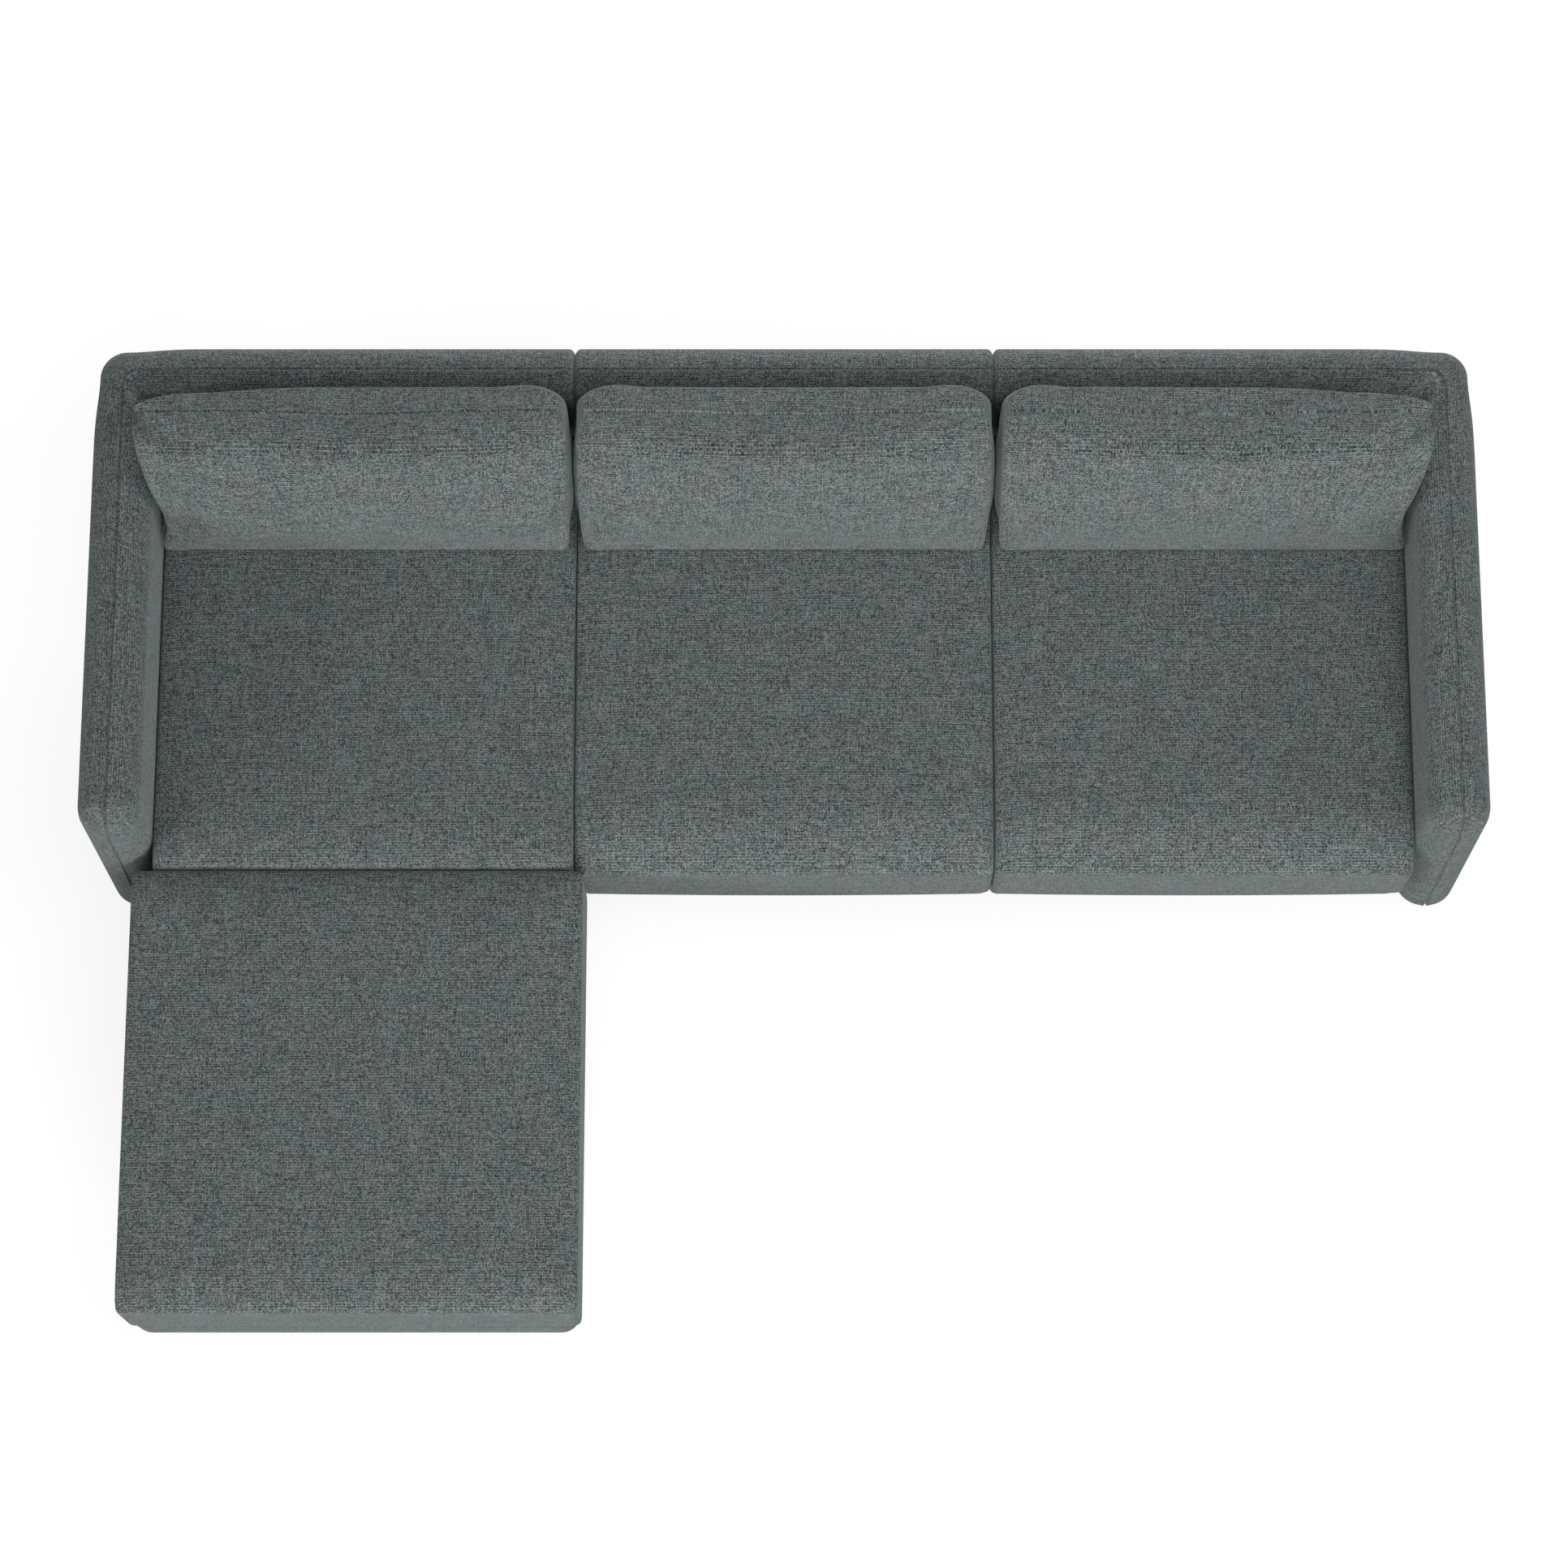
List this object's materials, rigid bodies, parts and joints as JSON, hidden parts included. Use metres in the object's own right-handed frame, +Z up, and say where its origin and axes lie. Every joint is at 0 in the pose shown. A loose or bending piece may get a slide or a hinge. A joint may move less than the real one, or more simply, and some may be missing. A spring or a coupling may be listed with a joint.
{
  "type": "modular sofa with footstool",
  "caption": "Low modular sofa with slim rounded arms level with its back, loose seat and back cushions, and a square footstool that pushes against one end.",
  "frame": {"origin": "on the floor, under the middle of the box round the sofa and its footstool", "axes": "+X along the sofa to the right as seen from the front, +Y towards its back, +Z up"},
  "size_m": [2.47, 1.713, 0.7206],
  "materials": {
    "upholstery": "matte",
    "foam": "matte",
    "webbing": "matte",
    "dust_cloth": "matte",
    "frame_timber": "matte",
    "leg_wood": "satin",
    "glide_plastic": "matte",
    "steel": "satin"
  },
  "bodies": {
    "sofa": {"left_front_rail": "frame_timber", "left_rear_rail": "frame_timber", "left_side_rails": "frame_timber", "left_corner_blocks": "frame_timber", "left_webbing": "webbing", "left_base_cover": "upholstery", "left_dust_cover": "dust_cloth", "left_legs": "leg_wood", "left_back_frame": "frame_timber", "centre_front_rail": "frame_timber", "centre_rear_rail": "frame_timber", "centre_side_rails": "frame_timber", "centre_corner_blocks": "frame_timber", "centre_webbing": "webbing", "centre_base_cover": "upholstery", "centre_dust_cover": "dust_cloth", "centre_legs": "leg_wood", "centre_back_frame": "frame_timber", "right_front_rail": "frame_timber", "right_rear_rail": "frame_timber", "right_side_rails": "frame_timber", "right_corner_blocks": "frame_timber", "right_webbing": "webbing", "right_base_cover": "upholstery", "right_dust_cover": "dust_cloth", "right_legs": "leg_wood", "right_back_frame": "frame_timber", "left_arm_frame": "frame_timber", "right_arm_frame": "frame_timber", "left_arm_back_cover": "upholstery", "centre_back_cover": "upholstery", "right_arm_back_cover": "upholstery", "sofa_glides": "glide_plastic", "sofa_leg_bolts": "steel", "frame_bolts": "steel", "joining_plates": "steel", "plate_screws": "steel"},
    "footstool": {"footstool_rails": "frame_timber", "footstool_corner_blocks": "frame_timber", "footstool_webbing": "webbing", "footstool_base_cover": "upholstery", "footstool_dust_cover": "dust_cloth", "footstool_legs": "leg_wood", "footstool_glides": "glide_plastic", "footstool_leg_bolts": "steel"},
    "footstool_cushion": {"footstool_cushion_cover": "upholstery", "footstool_cushion_foam": "foam"},
    "left_seat_cushion": {"left_seat_cushion_cover": "upholstery", "left_seat_cushion_foam": "foam"},
    "left_back_cushion": {"left_back_cushion_cover": "upholstery", "left_back_cushion_fill": "foam"},
    "centre_seat_cushion": {"centre_seat_cushion_cover": "upholstery", "centre_seat_cushion_foam": "foam"},
    "centre_back_cushion": {"centre_back_cushion_cover": "upholstery", "centre_back_cushion_fill": "foam"},
    "right_seat_cushion": {"right_seat_cushion_cover": "upholstery", "right_seat_cushion_foam": "foam"},
    "right_back_cushion": {"right_back_cushion_cover": "upholstery", "right_back_cushion_fill": "foam"}
  },
  "joints": [
    {"name": "footstool_slide", "type": "slide", "parent": "sofa", "child": "footstool", "axis": [0, -1, 0], "range_m": [0, 0.6]},
    {"name": "footstool_cushion_lift", "type": "slide", "parent": "footstool", "child": "footstool_cushion", "axis": [0, 0, 1], "range_m": [0, 0.25]},
    {"name": "left_seat_lift", "type": "slide", "parent": "sofa", "child": "left_seat_cushion", "axis": [0, 0, 1], "range_m": [0, 0.25]},
    {"name": "left_back_lift", "type": "slide", "parent": "left_seat_cushion", "child": "left_back_cushion", "axis": [0, 0, 1], "range_m": [0, 0.25]},
    {"name": "centre_seat_lift", "type": "slide", "parent": "sofa", "child": "centre_seat_cushion", "axis": [0, 0, 1], "range_m": [0, 0.25]},
    {"name": "centre_back_lift", "type": "slide", "parent": "centre_seat_cushion", "child": "centre_back_cushion", "axis": [0, 0, 1], "range_m": [0, 0.25]},
    {"name": "right_seat_lift", "type": "slide", "parent": "sofa", "child": "right_seat_cushion", "axis": [0, 0, 1], "range_m": [0, 0.25]},
    {"name": "right_back_lift", "type": "slide", "parent": "right_seat_cushion", "child": "right_back_cushion", "axis": [0, 0, 1], "range_m": [0, 0.25]}
  ]
}
